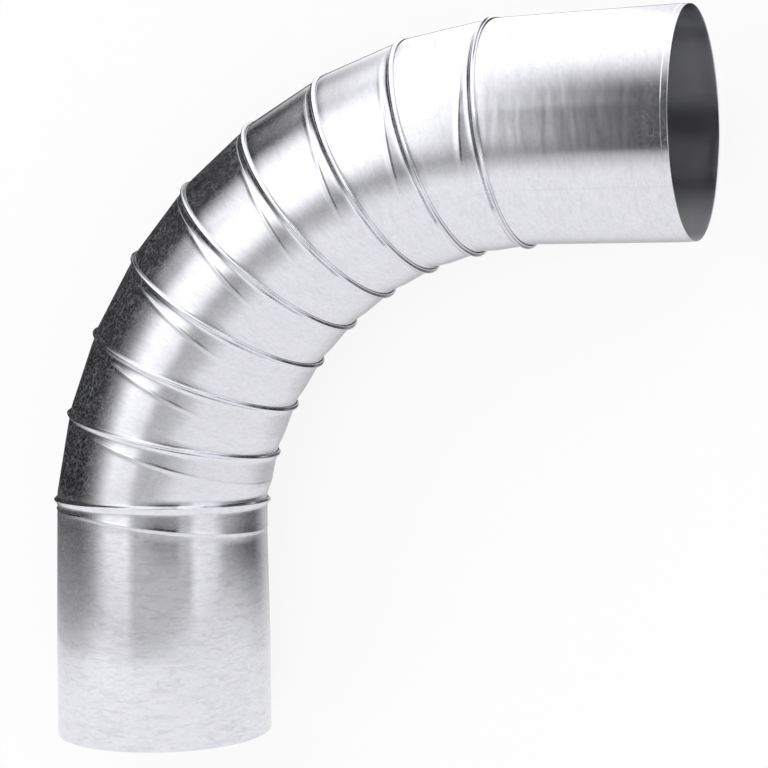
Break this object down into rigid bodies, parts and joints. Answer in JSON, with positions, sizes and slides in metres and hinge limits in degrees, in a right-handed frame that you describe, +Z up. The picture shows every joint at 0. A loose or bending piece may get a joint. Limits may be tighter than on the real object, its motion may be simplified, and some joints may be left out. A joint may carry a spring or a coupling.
{
  "type": "segmented duct elbow",
  "caption": "Galvanised sheet duct elbow turning through a right angle, built of gores between two collars and joined by rolled ring seams.",
  "frame": {"origin": "middle of the elbow's bounding box, on the floor that it lies on", "axes": "+Z up, square to the plane of the bend; +X the way the upper collar opens; -Y the way the lower collar opens"},
  "size_m": [0.4644, 0.4928, 0.1548],
  "materials": {
    "galvanised_sheet": "bright galvanised sheet, fine spangle"
  },
  "bodies": {
    "root": {"lower_collar": "galvanised_sheet", "gore_1": "galvanised_sheet", "gore_2": "galvanised_sheet", "gore_3": "galvanised_sheet", "gore_4": "galvanised_sheet", "gore_5": "galvanised_sheet", "gore_6": "galvanised_sheet", "gore_7": "galvanised_sheet", "gore_8": "galvanised_sheet", "upper_collar": "galvanised_sheet"}
  },
  "joints": []
}
